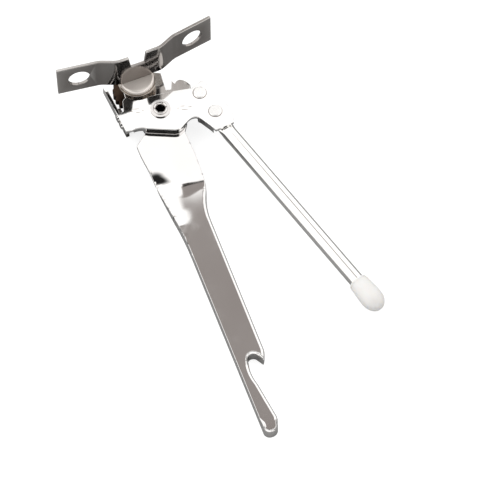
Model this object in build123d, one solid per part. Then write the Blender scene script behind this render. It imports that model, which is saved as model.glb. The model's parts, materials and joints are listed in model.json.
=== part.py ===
from build123d import *
import math
import os

# Butterfly can opener. Millimetres, +Z up (the key side).
# The origin is on the handle pivot, level with the top of the flat handle's head plate.
# The flat handle runs along -Y; the rod handle swings about the pivot over the head plate.

# ---- pivot and plate stack -------------------------------------------------
PLATE_T = 1.8            # flat handle's sheet
FRONT_T = 1.4            # front plate's sheet
PLATE_GAP = 1.6          # between the two plates, filled by the pivot spacer
RUN_GAP = 0.1            # faces that slide on each other
FIT = 0.03               # radial clearance of fixed pieces in their holes
RUNNING_FIT = 0.05       # radial clearance of turning pieces
EYELET_R = 2.5
EYELET_BORE_R = 1.8
EYELET_HEAD_R = 3.1
EYELET_HEAD_T = 0.9
EYELET_FOOT_R = 3.6
EYELET_FOOT_T = 0.8
EYELET_PETALS = 6
PIVOT_WASHER_R = 4.3
PIVOT_WASHER_T = 0.6
SPACER_R = 5.5

# ---- drive shaft, its bush and the feed wheel -------------------------------
SHAFT_X = -6.05
SHAFT_Y = 15.87
SHAFT_R = 3.0
BUSH_R = 5.0
BUSH_SPIGOT_R = 4.2
BUSH_STAKE_T = 0.6
DISC_R = 7.4
DISC_T = 2.1
DISC_ROUND = 1.0
DISC_LIFT = 0.3          # head washer's underside over the front plate's top
HEAD_WASHER_R = 8.0
HEAD_WASHER_T = 0.8
SLOT_DEPTH = 1.5
SQUARE = 4.4             # across flats of the shaft where the wheel sits
WHEEL_R = 10.5
WHEEL_T = 3.1
WHEEL_TEETH = 24
TOOTH_DEPTH = 1.1
TOOTH_CHAMFER = 0.5
SPACER_RING_R = 5.6
SPACER_RING_T = 0.3
RETAINER_R = 5.0
RETAINER_T = 0.7
PEEN_R = 3.1
PEEN_T = 0.9

# ---- butterfly key -----------------------------------------------------------
KEY_T = 1.3
KEY_H = 16.8
KEY_ANGLE = 7.2          # slot direction from +X, degrees
KEY_SHIFT = 1.5          # strip's middle from the shaft axis, along the slot
KEY_CLEAR = 0.2          # wings' lower edge over the disc
KEY_STRAIGHT = 8.0       # half length of the straight middle
KEY_SPAN = 34.7          # half span to each wing's end
BEND_OUT = 24.0          # degrees
BEND_BACK = 15.4
BEND_OUT_R = 8.0
BEND_BACK_R = 10.0
BEND_RUN = 4.5
KEY_HOLE_R = 4.6
KEY_HOLE_U = 25.4        # hole centre from the strip's middle
KEY_NOTCH_W = 7.0
KEY_NOTCH_FLARE = 0.5
KEY_NOTCH_DEPTH = 7.0
KEY_NOTCH_U = 0.8        # notch centre from the shaft axis

# ---- front plate -------------------------------------------------------------
LIP_T = 1.2
LIP_CLEAR = 0.4          # lip's lower edge over the head plate
LOBE_LIP_DEPTH = 4.2
BELLY_LIP_X = (-13.5, 8.2)
LOBE_LIP_X = (14.2, 19.0)
LIP_TOP_Y = -6.0         # the turned edge is kept below this
GUARD_T = 1.4
GUARD_DEPTH = 4.6        # guard wall's height, from the plate's top face down
GUARD_FOOT = (-16.75, -6.7)
GUARD_TOP = (-20.6, 17.4)
GUARD_BEND_TOP_Y = 2.6   # above this the guard stands clear of the plate
GUARD_SHALLOW = 3.2      # first stretch of the guard, which swings over the flat handle's belly
BUSH_ARC_R = 8.9         # the plate's edge around the bush

# ---- rod handle --------------------------------------------------------------
ROD_ANGLE = 20.3         # degrees from -Y, towards +X
ROD_OFFSET = 18.05       # rod axis from the pivot
ROD_R = 3.15
ROD_WALL = 0.8
TANG_T = 1.2
TANG_W = 7.4
TANG_START = -1.2        # distances along the rod, from the foot of the offset
TANG_END = 16.6
ROD_ROUND = 24.4
ROD_END = 121.5
RIVET_S = (3.1, 14.35)
RIVET_R = 1.5
RIVET_HEAD_R = 2.85
RIVET_HEAD_T = 0.6
RIVET_SINK_R = 2.4
CAP_GRIP = 8.3           # tube inside the cap
CAP_LENGTH = 15.6
CAP_WALL = 0.85          # at the mouth
CAP_BULB_R = 4.7
CAP_BULB_END = 6.2       # from the widest part to the end

# ---- cutter blade ------------------------------------------------------------
BLADE_T = 1.5
BLADE_DEPTH = 8.0        # below the head plate's top face
BLADE_LOW = 3.6          # along the guard from its foot
BLADE_HIGH = 12.6
BLADE_TIP = (-12.7, 7.1)
BLADE_RIVET_R = 0.9
BLADE_RIVET_HEAD_R = 1.6
BLADE_RIVET_HEAD_T = 0.4
BLADE_RIVET_AT = (5.4, 8.9)

# ---- flat handle -------------------------------------------------------------
GRIP_DROP = 2.5          # grip face below the head plate's face
GRIP_DEPTH = 5.5         # side walls' height
WALL_T = 1.6
SHOULDER_R = 1.5
JOG_START = -24.0
JOG_END = -33.0
JOG_R = 9.0
WALL_FADE_START = -25.0
WALL_FADE_END = -50.0

Z_FRONT_LOW = PLATE_GAP
Z_FRONT = PLATE_GAP + FRONT_T
Z_BUSH = Z_FRONT + DISC_LIFT - RUN_GAP
Z_WASHER = Z_BUSH + RUN_GAP
Z_DISC = Z_WASHER + HEAD_WASHER_T + RUN_GAP
Z_DISC_TOP = Z_DISC + DISC_T
Z_STAKE = -PLATE_T - BUSH_STAKE_T
Z_RING = Z_STAKE - RUN_GAP
Z_WHEEL = Z_RING - SPACER_RING_T
Z_WHEEL_LOW = Z_WHEEL - WHEEL_T
Z_RETAINER_LOW = Z_WHEEL_LOW - RETAINER_T
Z_KEY = Z_DISC_TOP + KEY_CLEAR


def cyl(r, z0, z1, x=0.0, y=0.0):
    """A disc or post from z0 up to z1."""
    return Pos(x, y, z0) * extrude(Circle(r), z1 - z0)


def ring(r_out, r_in, z0, z1, x=0.0, y=0.0):
    """A flat washer."""
    return Pos(x, y, z0) * extrude(Circle(r_out) - Circle(r_in), z1 - z0)


def prism(face, z0, z1):
    """A plan outline raised from z0 to z1."""
    return Pos(0, 0, z0) * extrude(face, z1 - z0)


def outline(edges):
    """A face from connected edges."""
    return make_face(Wire(edges))


# ---- flat handle -------------------------------------------------------------
def handle_outline():
    """Plan of the flat handle: head plate, belly, neck, grip, opener notch and tail."""
    left_top = (-12.4, 4.0)
    head_left = (-12.4, 19.0)
    head_top = (-6.0, 25.0)
    tab_left = (1.2, 21.0)
    tab_right = (5.3, 19.4)
    vee_left = (5.1, 10.6)
    vee_right = (7.3, 10.2)
    hook = (8.7, 14.6)
    hook_root = (9.6, 12.6)
    hump = (12.2, 14.0)
    hump_low = (15.2, 11.4)
    lug_end = (16.0, 10.0)
    waist = (10.6, 0.0)
    right_in = (9.4, -7.9)
    belly_top = (7.4, -11.6)
    belly_right = (9.3, -35.0)
    neck_right = (8.2, -42.2)
    grip_right = (6.8, -54.4)
    shoulder_right = (10.9, -117.5)
    hook_tip = (9.5, -123.3)
    mouth_right = (7.6, -120.6)
    mouth_left = (3.4, -122.2)
    tail_right = (4.2, -133.0)
    tip_right = (7.3, -148.0)
    tip_corner = (6.9, -152.3)
    tip_end = (3.7, -155.6)
    tip_left = (0.8, -153.0)
    grip_left = (-5.2, -68.0)
    neck_left = (-8.4, -46.0)
    belly_left = (-12.6, -23.5)
    belly_corner = (-13.9, -13.0)
    left_in = (-8.6, -7.8)
    neck_start = TangentArc(belly_right, neck_right, tangent=(0, -1))
    neck_end = TangentArc(neck_right, grip_right, tangent=neck_start % 1)
    left_low = TangentArc(grip_left, neck_left, tangent=(-0.07, 1))
    left_high = TangentArc(neck_left, belly_left, tangent=left_low % 1)
    return outline([
        Line(left_top, head_left),
        ThreePointArc(head_left, (-10.8, 23.2), head_top),
        ThreePointArc(head_top, (-1.8, 23.9), tab_left),
        Line(tab_left, tab_right),
        Line(tab_right, vee_left),
        Line(vee_left, vee_right),
        Line(vee_right, hook),
        Line(hook, hook_root),
        ThreePointArc(hook_root, (10.9, 13.8), hump),
        ThreePointArc(hump, (13.9, 13.0), hump_low),
        Line(hump_low, lug_end),
        Line(lug_end, waist),
        Line(waist, right_in),
        Line(right_in, belly_top),
        ThreePointArc(belly_top, (8.6, -23.0), belly_right),
        neck_start,
        neck_end,
        Line(grip_right, shoulder_right),
        ThreePointArc(shoulder_right, (10.7, -120.6), hook_tip),
        Line(hook_tip, mouth_right),
        ThreePointArc(mouth_right, (5.7, -119.5), mouth_left),
        ThreePointArc(mouth_left, (3.0, -127.0), tail_right),
        Line(tail_right, tip_right),
        ThreePointArc(tip_right, (7.5, -150.3), tip_corner),
        ThreePointArc(tip_corner, (5.8, -154.9), tip_end),
        ThreePointArc(tip_end, (1.6, -154.9), tip_left),
        Line(tip_left, grip_left),
        left_low,
        left_high,
        ThreePointArc(belly_left, (-13.5, -18.0), belly_corner),
        Line(belly_corner, left_in),
        Line(left_in, left_top),
    ])


def side_profile(drop, low, fade_low):
    """Side view of the handle between a top line, dropped by drop, and a lower line."""
    far = 40.0
    end = -200.0
    top = FilletPolyline(
        (far, -drop), (JOG_START, -drop), (JOG_END, -drop - GRIP_DROP), (end, -drop - GRIP_DROP),
        radius=JOG_R)
    rest = Polyline(
        (end, -drop - GRIP_DROP), (end, low), (WALL_FADE_END, low),
        (WALL_FADE_START, fade_low), (far, fade_low), (far, -drop))
    profile = make_face([top.edges(), rest.edges()])
    return extrude(Plane.YZ * profile, 60, both=True)


def grip_space():
    """The hollow under the grip, inside the side walls."""
    inner = offset(handle_outline(), -WALL_T)
    below = side_profile(PLATE_T, -30.0, -30.0)
    grip_only = Pos(0, WALL_FADE_START - 75, -20) * Box(80, 150, 80)
    return prism(inner, -30, 10) & below & grip_only


def grip_shell():
    """The grip below the jog, as a solid bar with its upper edges rounded over."""
    far = 200
    below_jog = Pos(0, JOG_END - far / 2, 0) * Box(far, far, far)
    bar = prism(handle_outline(), -GRIP_DROP - GRIP_DEPTH, -GRIP_DROP) & below_jog
    rim = [e for e in bar.edges().group_by(Axis.Z)[-1] if e.bounding_box().min.Y < JOG_END - 0.1]
    return fillet(rim, SHOULDER_R)


def flat_handle():
    """Stamped head plate and handle in one, with its walls turned down along the grip."""
    low = -GRIP_DROP - GRIP_DEPTH
    above_jog = Pos(0, JOG_END + 100, 0) * Box(200, 200, 200)
    body = prism(handle_outline(), -30, 10) & side_profile(0, low, -PLATE_T) & above_jog
    fade = side_profile(0, low, -PLATE_T)
    body += grip_shell() & fade
    body -= grip_space()
    body -= cyl(EYELET_R + FIT, -5, 5)
    body -= cyl(BUSH_SPIGOT_R + FIT, -5, 5, SHAFT_X, SHAFT_Y)
    return body


# ---- pivot -------------------------------------------------------------------
def pivot_rivet():
    """Hollow rivet: its foot is under the head plate and its rolled, split head is on top."""
    top = Z_FRONT + RUN_GAP + PIVOT_WASHER_T
    body = cyl(EYELET_R, -PLATE_T, top)
    body += cyl(EYELET_FOOT_R, -PLATE_T - EYELET_FOOT_T, -PLATE_T)
    head = cyl(EYELET_HEAD_R, top, top + EYELET_HEAD_T)
    head = fillet(head.edges().group_by(Axis.Z)[-1], EYELET_HEAD_T * 0.6)
    body += head
    bore = cyl(EYELET_BORE_R, -10, 10)
    flare = Pos(0, 0, top + EYELET_HEAD_T / 2) * Cone(
        EYELET_BORE_R, EYELET_BORE_R + 0.5, EYELET_HEAD_T + 0.01)
    body -= bore
    body -= flare
    for i in range(EYELET_PETALS):
        cut = Pos(EYELET_BORE_R + 0.3, 0, top + EYELET_HEAD_T) * Box(1.2, 0.3, EYELET_HEAD_T)
        body -= Rot(0, 0, i * 360 / EYELET_PETALS) * cut
    return body


def pivot_washer():
    """Thin washer under the rivet's head."""
    z0 = Z_FRONT + RUN_GAP
    return ring(PIVOT_WASHER_R, EYELET_R + FIT, z0, z0 + PIVOT_WASHER_T)


def pivot_spacer():
    """Thick washer that holds the plates apart."""
    return ring(SPACER_R, EYELET_R + FIT, 0, PLATE_GAP - RUN_GAP)


# ---- shaft group ---------------------------------------------------------------
def shaft_bush():
    """Flanged bearing that is staked into the head plate."""
    body = cyl(BUSH_R, 0, Z_BUSH, SHAFT_X, SHAFT_Y)
    body += cyl(BUSH_SPIGOT_R, -PLATE_T, 0, SHAFT_X, SHAFT_Y)
    body += cyl(BUSH_R, Z_STAKE, -PLATE_T, SHAFT_X, SHAFT_Y)
    return body - cyl(SHAFT_R + RUNNING_FIT, -10, 10, SHAFT_X, SHAFT_Y)


def head_washer():
    """Wide washer between the bush and the shaft's head."""
    return ring(HEAD_WASHER_R, SHAFT_R + FIT, Z_WASHER, Z_WASHER + HEAD_WASHER_T, SHAFT_X, SHAFT_Y)


def drive_shaft():
    """Shaft with its slotted round head, the square for the wheel and the peened end."""
    head = extrude(Circle(DISC_R), DISC_T)
    head = Pos(0, 0, Z_DISC) * fillet(head.edges().group_by(Axis.Z)[-1], DISC_ROUND)
    body = head + cyl(SHAFT_R, Z_WHEEL, Z_DISC)
    body += Pos(0, 0, Z_RETAINER_LOW) * extrude(Rectangle(SQUARE, SQUARE), Z_WHEEL - Z_RETAINER_LOW)
    peen = cyl(PEEN_R, Z_RETAINER_LOW - PEEN_T, Z_RETAINER_LOW)
    body += chamfer(peen.edges().group_by(Axis.Z)[0], PEEN_T * 0.6)
    slot = Pos(0, 0, Z_DISC_TOP) * Box(3 * DISC_R, KEY_T + 2 * FIT, 2 * SLOT_DEPTH)
    body -= slot
    return Pos(SHAFT_X, SHAFT_Y, 0) * Rot(0, 0, KEY_ANGLE) * body


def wheel_ring():
    """Thin ring between the staked bush and the feed wheel."""
    return ring(SPACER_RING_R, SHAFT_R + FIT, Z_WHEEL, Z_WHEEL + SPACER_RING_T, SHAFT_X, SHAFT_Y)


def feed_wheel():
    """Serrated wheel that drives the rim of the can."""
    points = []
    for i in range(WHEEL_TEETH):
        step = 2 * math.pi / WHEEL_TEETH
        for share, r in ((0.0, WHEEL_R - TOOTH_DEPTH), (0.35, WHEEL_R), (0.65, WHEEL_R)):
            a = (i + share) * step
            points.append((r * math.cos(a), r * math.sin(a)))
    blank = extrude(make_face(Polyline(points, close=True)), WHEEL_T)
    bevel = Cone(WHEEL_R + WHEEL_T - TOOTH_CHAMFER, WHEEL_R - TOOTH_CHAMFER, WHEEL_T)
    blank = blank & (Pos(0, 0, WHEEL_T / 2) * bevel)
    blank -= Pos(0, 0, WHEEL_T / 2) * Box(SQUARE + 2 * FIT, SQUARE + 2 * FIT, 3 * WHEEL_T)
    return Pos(SHAFT_X, SHAFT_Y, Z_WHEEL_LOW) * Rot(0, 0, KEY_ANGLE) * blank


def retaining_washer():
    """Washer with a square hole that the shaft's end is peened over."""
    hole = Rectangle(SQUARE + 2 * FIT, SQUARE + 2 * FIT)
    body = extrude(Circle(RETAINER_R) - hole, RETAINER_T)
    return Pos(SHAFT_X, SHAFT_Y, Z_RETAINER_LOW) * Rot(0, 0, KEY_ANGLE) * body


# ---- butterfly key -------------------------------------------------------------
def wing_path():
    """Middle line of one wing, in plan, from the strip's middle outwards."""
    out = math.radians(BEND_OUT)
    back = math.radians(BEND_OUT - BEND_BACK)
    p0 = Vector(KEY_STRAIGHT, 0)
    p1 = p0 + Vector(BEND_OUT_R * math.sin(out), BEND_OUT_R * (1 - math.cos(out)))
    p2 = p1 + Vector(math.cos(out), math.sin(out)) * BEND_RUN
    p3 = p2 + Vector(
        BEND_BACK_R * (math.sin(out) - math.sin(back)),
        BEND_BACK_R * (math.cos(back) - math.cos(out)))
    p4 = p3 + Vector(1, math.tan(back)) * (KEY_SPAN - p3.X)
    return [
        Line((0, 0), p0),
        TangentArc(p0, p1, tangent=(1, 0)),
        Line(p1, p2),
        TangentArc(p2, p3, tangent=(math.cos(out), math.sin(out))),
        Line(p3, p4),
    ]


def wing_normal_offset(u):
    """How far the wing's straight outer part is bent away, at a distance u along the strip."""
    end = wing_path()[-1] @ 1
    slope = math.tan(math.radians(BEND_OUT - BEND_BACK))
    return end.Y - (end.X - u) * slope


def band(path, width):
    """A strip of constant width about a plan path."""
    wire = Wire(path)
    left = wire.offset_2d(width / 2, side=Side.LEFT, closed=True)
    right = wire.offset_2d(width / 2, side=Side.RIGHT, closed=True)
    return make_face(left) + make_face(right)


def butterfly_key():
    """Bent strip standing in the shaft's slot, with two holed wings swept to one side."""
    wing = prism(band(wing_path(), KEY_T), Z_KEY, Z_KEY + KEY_H)
    angle = BEND_OUT - BEND_BACK
    hole = Cylinder(KEY_HOLE_R, 8, rotation=(90, 0, 0))
    hole = Pos(KEY_HOLE_U, wing_normal_offset(KEY_HOLE_U), Z_KEY + KEY_H / 2) * Rot(0, 0, angle) * hole
    wing -= hole
    strip = wing + mirror(wing, Plane.YZ)
    strip = Pos(KEY_SHIFT, 0, 0) * strip
    tongue = 2 * (DISC_R - DISC_ROUND)
    strip += Pos(0, 0, (Z_DISC_TOP - SLOT_DEPTH + Z_KEY) / 2) * Box(
        tongue, KEY_T, Z_KEY - Z_DISC_TOP + SLOT_DEPTH)
    low = KEY_NOTCH_W / 2 - KEY_NOTCH_FLARE
    high = KEY_NOTCH_W / 2 + KEY_NOTCH_FLARE
    notch = make_face(Polyline(
        (-low, KEY_H - KEY_NOTCH_DEPTH), (low, KEY_H - KEY_NOTCH_DEPTH),
        (high, KEY_H + 1), (-high, KEY_H + 1), close=True))
    notch = Pos(KEY_NOTCH_U, 0, Z_KEY) * extrude(Plane.XZ * notch, 3, both=True)
    strip -= notch
    return Pos(SHAFT_X, SHAFT_Y, 0) * Rot(0, 0, KEY_ANGLE) * strip


# ---- front plate -----------------------------------------------------------------
def guard_frame():
    """Foot, direction and length of the guard wall's outer face."""
    foot = Vector(*GUARD_FOOT)
    run = Vector(*GUARD_TOP) - foot
    return foot, run.normalized(), run.length


def guard_box(along0, along1, inset0, inset1, z0, z1):
    """A block laid along the guard, inset from its outer face."""
    foot, run, _ = guard_frame()
    inward = Vector(run.Y, -run.X)
    corners = [
        foot + run * along0 + inward * inset0, foot + run * along1 + inward * inset0,
        foot + run * along1 + inward * inset1, foot + run * along0 + inward * inset1]
    return prism(make_face(Polyline(*corners, close=True)), z0, z1)


def front_outline():
    """Plan of the front plate."""
    foot, run, _ = guard_frame()
    bend_top = foot + run * ((GUARD_BEND_TOP_Y - foot.Y) / run.Y)
    lip_left = (3.0, -11.6)
    lip_right = (7.4, -10.2)
    lobe_low = (18.0, -13.4)
    mouth_left = (19.6, -16.4)
    mouth_right = (28.0, -14.6)
    lobe_right = (28.7, -9.5)
    arc_left = (-11.9, 9.5)
    arc_right = (-3.2, 7.4)
    return outline([
        Line((foot.X, foot.Y), (bend_top.X, bend_top.Y)),
        Line((bend_top.X, bend_top.Y), (-15.2, 3.2)),
        Line((-15.2, 3.2), (-14.4, 7.9)),
        ThreePointArc((-14.4, 7.9), (-13.5, 9.1), arc_left),
        ThreePointArc(arc_left, (SHAFT_X - 1.4, SHAFT_Y - BUSH_ARC_R), arc_right),
        Line(arc_right, (5.2, 7.6)),
        Line((5.2, 7.6), (15.4, 6.6)),
        Line((15.4, 6.6), (19.6, 8.8)),
        ThreePointArc((19.6, 8.8), (21.2, 8.5), (22.0, 6.4)),
        Line((22.0, 6.4), (26.6, -3.0)),
        ThreePointArc((26.6, -3.0), (27.6, -6.0), lobe_right),
        Line(lobe_right, mouth_right),
        Line(mouth_right, mouth_left),
        Line(mouth_left, lobe_low),
        Line(lobe_low, (15.2, -9.2)),
        ThreePointArc((15.2, -9.2), (12.6, -7.7), (9.8, -8.5)),
        Line((9.8, -8.5), lip_right),
        ThreePointArc(lip_right, (5.4, -11.5), lip_left),
        Line(lip_left, (-7.6, -7.9)),
        ThreePointArc((-7.6, -7.9), (-11.6, -6.6), (-14.6, -7.0)),
        Line((-14.6, -7.0), (foot.X, foot.Y)),
    ])


def edge_lip(span, low):
    """The turned-down edge between two X positions along the plate's lower side."""
    shell = front_outline() - offset(front_outline(), -LIP_T)
    reach = 20
    middle = (span[0] + span[1]) / 2
    window = Pos(middle, LIP_TOP_Y - reach / 2, 0) * Box(span[1] - span[0], reach, 3 * reach)
    return prism(shell, low, Z_FRONT_LOW) & window


def rod_place(s, z=0.0):
    """A location on the rod's axis line in plan, local X across it and local Z along it."""
    a = math.radians(ROD_ANGLE)
    across = Vector(math.cos(a), math.sin(a), 0)
    along = Vector(math.sin(a), -math.cos(a), 0)
    point = across * ROD_OFFSET + along * s + Vector(0, 0, z)
    return Plane(origin=point, x_dir=across, z_dir=along)


def rivet_points():
    """Plan positions of the two handle rivets."""
    return [rod_place(s).origin for s in RIVET_S]


def front_plate():
    """Stamped plate that carries the rod handle, with its guard wall and turned-down edge."""
    _, _, length = guard_frame()
    body = prism(front_outline(), Z_FRONT_LOW, Z_FRONT)
    body += guard_box(0, length, 0, GUARD_T, LIP_CLEAR, Z_FRONT)
    body += guard_box(GUARD_SHALLOW, length, 0, GUARD_T, Z_FRONT - GUARD_DEPTH, Z_FRONT)
    body += edge_lip(BELLY_LIP_X, LIP_CLEAR)
    body += edge_lip(LOBE_LIP_X, Z_FRONT - LOBE_LIP_DEPTH)
    body -= cyl(EYELET_R + RUNNING_FIT, -10, 10)
    for p in rivet_points():
        body -= cyl(RIVET_R + FIT, -10, 10, p.X, p.Y)
    for t in BLADE_RIVET_AT:
        body -= blade_rivet_shank(t, FIT)
    return body


# ---- rod handle --------------------------------------------------------------------
def rod_z():
    """Height of the rod's axis: its top is level with the front plate's underside."""
    return Z_FRONT_LOW - ROD_R - 0.02


def rod_handle():
    """Steel tube, flattened at one end into a tang under the front plate."""
    tang_z = Z_FRONT_LOW - TANG_T / 2
    flat = rod_place(TANG_START + TANG_W / 2, tang_z)
    tang = extrude(flat * Rectangle(TANG_W, TANG_T), TANG_END - TANG_START - TANG_W / 2)
    nose = cyl(TANG_W / 2, Z_FRONT_LOW - TANG_T, Z_FRONT_LOW, flat.origin.X, flat.origin.Y)
    swell = loft([
        rod_place(TANG_END, tang_z) * Rectangle(TANG_W, TANG_T),
        rod_place(ROD_ROUND, rod_z()) * Circle(ROD_R)])
    tube = extrude(rod_place(ROD_ROUND, rod_z()) * Circle(ROD_R), ROD_END - ROD_ROUND)
    bore = extrude(rod_place(ROD_ROUND + 3, rod_z()) * Circle(ROD_R - ROD_WALL), ROD_END - ROD_ROUND)
    body = tang + nose + swell + tube - bore
    for p in rivet_points():
        body -= rivet_body(p, FIT)
    return body


def rod_cap():
    """Moulded cap pushed over the end of the tube."""
    start = ROD_END - CAP_GRIP
    end = start + CAP_LENGTH
    mouth_r = ROD_R + CAP_WALL
    widest = (CAP_BULB_R, end - CAP_BULB_END)
    rim = (mouth_r + 0.15, start + 1.2)
    profile = outline([
        Line((0, start), (mouth_r, start)),
        Line((mouth_r, start), rim),
        Line(rim, widest),
        Spline(widest, (CAP_BULB_R * 0.8, end - 2.3), (0, end), tangents=((0, 1), (-1, 0))),
        Line((0, end), (0, start)),
    ])
    solid = revolve(Plane.XZ * profile, Axis.Z)
    solid -= cyl(ROD_R + FIT, start - 1, ROD_END + 0.2)
    return rod_place(0, rod_z()).location * solid


def rivet_body(point, grow=0.0):
    """Shank and countersunk foot of a handle rivet, grown for its hole."""
    low = Z_FRONT_LOW - TANG_T
    body = cyl(RIVET_R + grow, low, Z_FRONT, point.X, point.Y)
    sink = Cone(RIVET_SINK_R + grow, RIVET_R + grow, TANG_T * 0.8)
    return body + Pos(point.X, point.Y, low + TANG_T * 0.4) * sink


def handle_rivets():
    """Two low-domed rivets that hold the tang under the front plate."""
    rivets = []
    for p in rivet_points():
        head = cyl(RIVET_HEAD_R, Z_FRONT, Z_FRONT + RIVET_HEAD_T, p.X, p.Y)
        head = fillet(head.edges().group_by(Axis.Z)[-1], RIVET_HEAD_T * 0.7)
        rivets.append(head + rivet_body(p))
    return Compound(children=rivets)


# ---- cutter blade --------------------------------------------------------------------
def blade_rivet_line(t):
    """Start on the guard's outer face, and inward direction, of a blade rivet."""
    foot, run, _ = guard_frame()
    inward = Vector(run.Y, -run.X)
    z = (Z_FRONT_LOW + Z_FRONT - GUARD_DEPTH) / 2
    return foot + run * t + Vector(0, 0, z), inward


def blade_rivet_shank(t, grow=0.0):
    """Shank of a blade rivet, from the guard's outer face to the blade's inner face."""
    start, inward = blade_rivet_line(t)
    return extrude(Plane(origin=start, z_dir=inward) * Circle(BLADE_RIVET_R + grow), GUARD_T + BLADE_T)


def blade_rivets():
    """Two small rivets through the guard wall and the blade."""
    rivets = []
    for t in BLADE_RIVET_AT:
        start, inward = blade_rivet_line(t)
        head = extrude(Plane(origin=start, z_dir=-inward) * Circle(BLADE_RIVET_HEAD_R), BLADE_RIVET_HEAD_T)
        inner = start + inward * (GUARD_T + BLADE_T)
        foot = extrude(Plane(origin=inner, z_dir=inward) * Circle(BLADE_RIVET_HEAD_R), BLADE_RIVET_HEAD_T)
        rivets.append(head + blade_rivet_shank(t) + foot)
    return Compound(children=rivets)


def cutter_blade():
    """Hardened blade: a leg riveted inside the guard and a pointed foot beside the wheel."""
    leg = guard_box(BLADE_LOW, BLADE_HIGH, GUARD_T, GUARD_T + BLADE_T, -BLADE_DEPTH, Z_FRONT_LOW - 0.05)
    foot, run, _ = guard_frame()
    inward = Vector(run.Y, -run.X)
    inner = GUARD_T + BLADE_T / 2
    a = foot + run * BLADE_LOW + inward * inner
    b = foot + run * BLADE_HIGH + inward * inner
    point = make_face(Polyline((a.X, a.Y), (b.X, b.Y), BLADE_TIP, close=True))
    body = leg + prism(point, -BLADE_DEPTH, -BLADE_DEPTH + BLADE_T)
    for t in BLADE_RIVET_AT:
        body -= blade_rivet_shank(t, FIT)
    return body


PARTS = {
    "flat_handle": flat_handle,
    "pivot_rivet": pivot_rivet,
    "pivot_washer": pivot_washer,
    "pivot_spacer": pivot_spacer,
    "shaft_bush": shaft_bush,
    "head_washer": head_washer,
    "drive_shaft": drive_shaft,
    "butterfly_key": butterfly_key,
    "wheel_ring": wheel_ring,
    "feed_wheel": feed_wheel,
    "retaining_washer": retaining_washer,
    "front_plate": front_plate,
    "cutter_blade": cutter_blade,
    "blade_rivets": blade_rivets,
    "rod_handle": rod_handle,
    "handle_rivets": handle_rivets,
    "rod_cap": rod_cap,
}


os.makedirs("parts", exist_ok=True)
for name, make in PARTS.items():
    export_step(make(), os.path.join("parts", name + ".step"))
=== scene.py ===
import json
import logging
import math
from dataclasses import dataclass
from enum import Enum
from typing import Callable

import bmesh
import bpy
from mathutils import Matrix, Vector


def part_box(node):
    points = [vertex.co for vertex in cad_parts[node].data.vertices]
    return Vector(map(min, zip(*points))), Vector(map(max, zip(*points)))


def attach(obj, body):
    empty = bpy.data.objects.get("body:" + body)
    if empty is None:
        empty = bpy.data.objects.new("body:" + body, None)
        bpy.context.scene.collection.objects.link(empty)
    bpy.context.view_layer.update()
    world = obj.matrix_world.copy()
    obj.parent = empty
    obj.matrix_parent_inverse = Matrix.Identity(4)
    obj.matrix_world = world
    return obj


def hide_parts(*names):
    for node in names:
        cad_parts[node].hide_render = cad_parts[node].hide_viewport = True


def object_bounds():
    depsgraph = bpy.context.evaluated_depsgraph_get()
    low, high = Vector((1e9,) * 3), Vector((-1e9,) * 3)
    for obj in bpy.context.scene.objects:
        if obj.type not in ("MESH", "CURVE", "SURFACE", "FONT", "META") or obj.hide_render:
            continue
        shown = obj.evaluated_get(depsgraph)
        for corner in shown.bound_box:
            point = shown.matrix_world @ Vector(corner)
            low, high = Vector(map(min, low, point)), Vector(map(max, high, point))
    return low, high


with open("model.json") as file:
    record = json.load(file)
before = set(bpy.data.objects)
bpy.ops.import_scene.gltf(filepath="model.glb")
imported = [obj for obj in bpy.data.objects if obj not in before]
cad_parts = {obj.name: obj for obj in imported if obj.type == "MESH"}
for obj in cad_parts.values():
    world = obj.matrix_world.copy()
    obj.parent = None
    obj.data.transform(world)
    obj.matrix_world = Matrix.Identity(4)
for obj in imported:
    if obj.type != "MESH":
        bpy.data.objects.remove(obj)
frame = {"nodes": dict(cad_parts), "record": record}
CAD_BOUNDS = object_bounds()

# Butterfly can opener in its studio. Metres, Z up; the pivot's axis is the origin.

LOG = logging.getLogger("can_opener")
MM = 0.001
WELD = 2e-6             # points nearer than this are one point
FLAT_ANGLE = 0.3        # degrees; faces that turn less than this are one face
CREASE_ANGLE = 34.0     # degrees; sheet and turned edges sharper than this stay edges
EDGE_STEPS = 2          # steps across a rounded edge

Colour = tuple[float, float, float]
Triple = tuple[float, float, float]
Pair = tuple[float, float]


class Body(Enum):
    """The three bodies that the pieces move with."""

    FRAME = "flat_frame"
    SWING = "swing_handle"
    SHAFT = "key_shaft"


class Lay(Enum):
    """Direction of a sheet's rolled or turned grain: the stretch of its noise on each axis."""

    ALONG_Y = (60.0, 2.0, 60.0)
    ALONG_X = (2.0, 60.0, 60.0)
    EVEN = (30.0, 30.0, 30.0)
    ALONG_Z = (40.0, 40.0, 1.5)


# ---- small shared steps --------------------------------------------------------
def ease(value: float, start: float, end: float) -> float:
    """Rises smoothly from 0 at start to 1 at end.

    Args:
        value: Where to read the ramp.
        start: Where it leaves 0.
        end: Where it reaches 1; may be below start.

    Returns:
        The ramp's height, 0 to 1.
    """
    t = min(1.0, max(0.0, (value - start) / (end - start)))
    return t * t * (3.0 - 2.0 * t)


def link_object(name: str, mesh: bpy.types.Mesh) -> bpy.types.Object:
    """Puts a mesh into the scene.

    Args:
        name: The piece's name.
        mesh: Its mesh.

    Returns:
        The new object.
    """
    piece = bpy.data.objects.new(name, mesh)
    bpy.context.scene.collection.objects.link(piece)
    return piece


def shade(piece: bpy.types.Object, angle: float = CREASE_ANGLE) -> None:
    """Smooths a piece's faces and keeps the edges sharper than an angle.

    Args:
        piece: The piece.
        angle: Degrees.
    """
    piece.data.polygons.foreach_set("use_smooth", [True] * len(piece.data.polygons))
    piece.data.set_sharp_from_angle(angle=math.radians(angle))


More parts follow.
